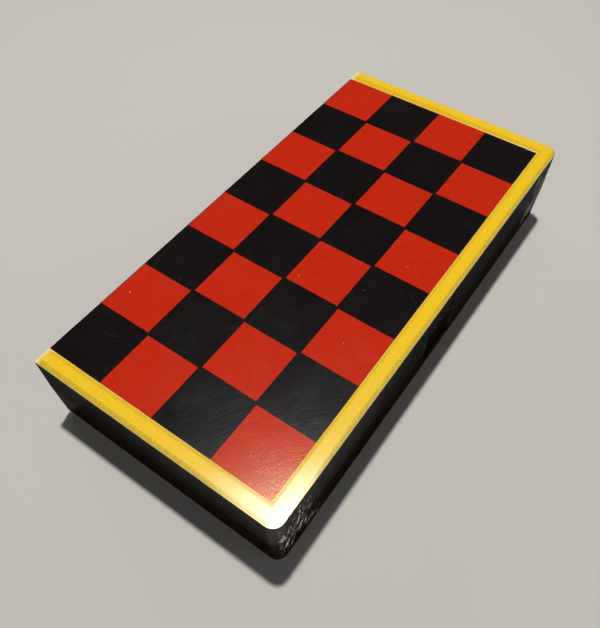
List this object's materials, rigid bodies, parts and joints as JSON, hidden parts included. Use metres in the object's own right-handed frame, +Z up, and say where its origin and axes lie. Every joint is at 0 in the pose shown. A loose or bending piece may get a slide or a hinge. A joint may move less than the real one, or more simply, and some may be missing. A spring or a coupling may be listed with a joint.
{
  "type": "folding checkers set",
  "caption": "Folding checkers case: hinged black halves with the red and black board on their outer faces, raised yellow rims, a snap tab, and checkers in an inner tray.",
  "frame": {"origin": "bottom centre of the closed case: the middle of its outline, on the surface it lies on", "axes": "+X from the hinge side to the latch side, +Y along the long side, +Z up"},
  "size_m": [0.11, 0.215, 0.039],
  "materials": {
    "case_black": "glossy moulded black plastic with fine scratches and scuffed corners",
    "board_black": "lacquered black sheet, faint orange peel, fine grey scratches",
    "print_red": "printed red under lacquer, fine orange peel",
    "rim_yellow": "glossy yellow, worn to cream along its edges",
    "pin_steel": "drawn steel wire",
    "tray_black": "satin black plastic, lightly grained",
    "checker_red": "moulded red plastic, softly glossy",
    "checker_black": "moulded black plastic, softly glossy"
  },
  "bodies": {
    "lower_half": {"lower_case": "case_black", "lower_board": "board_black", "lower_squares": "print_red", "lower_rim": "rim_yellow", "hinge_pin_front": "pin_steel", "hinge_pin_rear": "pin_steel", "storage_tray": "tray_black"},
    "upper_half": {"upper_case": "case_black", "upper_board": "board_black", "upper_squares": "print_red", "upper_rim": "rim_yellow"},
    "latch": {"latch_tab": "case_black"},
    "red_checker_01": {"red_checker_01": "checker_red"},
    "red_checker_02": {"red_checker_02": "checker_red"},
    "red_checker_03": {"red_checker_03": "checker_red"},
    "red_checker_04": {"red_checker_04": "checker_red"},
    "red_checker_05": {"red_checker_05": "checker_red"},
    "red_checker_06": {"red_checker_06": "checker_red"},
    "red_checker_07": {"red_checker_07": "checker_red"},
    "red_checker_08": {"red_checker_08": "checker_red"},
    "red_checker_09": {"red_checker_09": "checker_red"},
    "red_checker_10": {"red_checker_10": "checker_red"},
    "red_checker_11": {"red_checker_11": "checker_red"},
    "red_checker_12": {"red_checker_12": "checker_red"},
    "black_checker_01": {"black_checker_01": "checker_black"},
    "black_checker_02": {"black_checker_02": "checker_black"},
    "black_checker_03": {"black_checker_03": "checker_black"},
    "black_checker_04": {"black_checker_04": "checker_black"},
    "black_checker_05": {"black_checker_05": "checker_black"},
    "black_checker_06": {"black_checker_06": "checker_black"},
    "black_checker_07": {"black_checker_07": "checker_black"},
    "black_checker_08": {"black_checker_08": "checker_black"},
    "black_checker_09": {"black_checker_09": "checker_black"},
    "black_checker_10": {"black_checker_10": "checker_black"},
    "black_checker_11": {"black_checker_11": "checker_black"},
    "black_checker_12": {"black_checker_12": "checker_black"}
  },
  "joints": [
    {"name": "case_hinge", "type": "hinge", "parent": "lower_half", "child": "upper_half", "pos_m": [-0.0525, 0, 0.0195], "axis": [0, -1, 0], "range_deg": [0, 180]},
    {"name": "latch_hinge", "type": "hinge", "parent": "lower_half", "child": "latch", "pos_m": [0.05361, 0, 0.0139], "axis": [0, 1, 0], "range_deg": [0, 70]},
    {"name": "red_lift_01", "type": "slide", "parent": "lower_half", "child": "red_checker_01", "axis": [0, 0, 1], "range_m": [0, 0.024]},
    {"name": "red_lift_02", "type": "slide", "parent": "lower_half", "child": "red_checker_02", "axis": [0, 0, 1], "range_m": [0, 0.024]},
    {"name": "red_lift_03", "type": "slide", "parent": "lower_half", "child": "red_checker_03", "axis": [0, 0, 1], "range_m": [0, 0.024]},
    {"name": "red_lift_04", "type": "slide", "parent": "lower_half", "child": "red_checker_04", "axis": [0, 0, 1], "range_m": [0, 0.024]},
    {"name": "red_lift_05", "type": "slide", "parent": "lower_half", "child": "red_checker_05", "axis": [0, 0, 1], "range_m": [0, 0.024]},
    {"name": "red_lift_06", "type": "slide", "parent": "lower_half", "child": "red_checker_06", "axis": [0, 0, 1], "range_m": [0, 0.024]},
    {"name": "red_lift_07", "type": "slide", "parent": "lower_half", "child": "red_checker_07", "axis": [0, 0, 1], "range_m": [0, 0.024]},
    {"name": "red_lift_08", "type": "slide", "parent": "lower_half", "child": "red_checker_08", "axis": [0, 0, 1], "range_m": [0, 0.024]},
    {"name": "red_lift_09", "type": "slide", "parent": "lower_half", "child": "red_checker_09", "axis": [0, 0, 1], "range_m": [0, 0.024]},
    {"name": "red_lift_10", "type": "slide", "parent": "lower_half", "child": "red_checker_10", "axis": [0, 0, 1], "range_m": [0, 0.024]},
    {"name": "red_lift_11", "type": "slide", "parent": "lower_half", "child": "red_checker_11", "axis": [0, 0, 1], "range_m": [0, 0.024]},
    {"name": "red_lift_12", "type": "slide", "parent": "lower_half", "child": "red_checker_12", "axis": [0, 0, 1], "range_m": [0, 0.024]},
    {"name": "black_lift_01", "type": "slide", "parent": "lower_half", "child": "black_checker_01", "axis": [0, 0, 1], "range_m": [0, 0.024]},
    {"name": "black_lift_02", "type": "slide", "parent": "lower_half", "child": "black_checker_02", "axis": [0, 0, 1], "range_m": [0, 0.024]},
    {"name": "black_lift_03", "type": "slide", "parent": "lower_half", "child": "black_checker_03", "axis": [0, 0, 1], "range_m": [0, 0.024]},
    {"name": "black_lift_04", "type": "slide", "parent": "lower_half", "child": "black_checker_04", "axis": [0, 0, 1], "range_m": [0, 0.024]},
    {"name": "black_lift_05", "type": "slide", "parent": "lower_half", "child": "black_checker_05", "axis": [0, 0, 1], "range_m": [0, 0.024]},
    {"name": "black_lift_06", "type": "slide", "parent": "lower_half", "child": "black_checker_06", "axis": [0, 0, 1], "range_m": [0, 0.024]},
    {"name": "black_lift_07", "type": "slide", "parent": "lower_half", "child": "black_checker_07", "axis": [0, 0, 1], "range_m": [0, 0.024]},
    {"name": "black_lift_08", "type": "slide", "parent": "lower_half", "child": "black_checker_08", "axis": [0, 0, 1], "range_m": [0, 0.024]},
    {"name": "black_lift_09", "type": "slide", "parent": "lower_half", "child": "black_checker_09", "axis": [0, 0, 1], "range_m": [0, 0.024]},
    {"name": "black_lift_10", "type": "slide", "parent": "lower_half", "child": "black_checker_10", "axis": [0, 0, 1], "range_m": [0, 0.024]},
    {"name": "black_lift_11", "type": "slide", "parent": "lower_half", "child": "black_checker_11", "axis": [0, 0, 1], "range_m": [0, 0.024]},
    {"name": "black_lift_12", "type": "slide", "parent": "lower_half", "child": "black_checker_12", "axis": [0, 0, 1], "range_m": [0, 0.024]}
  ]
}
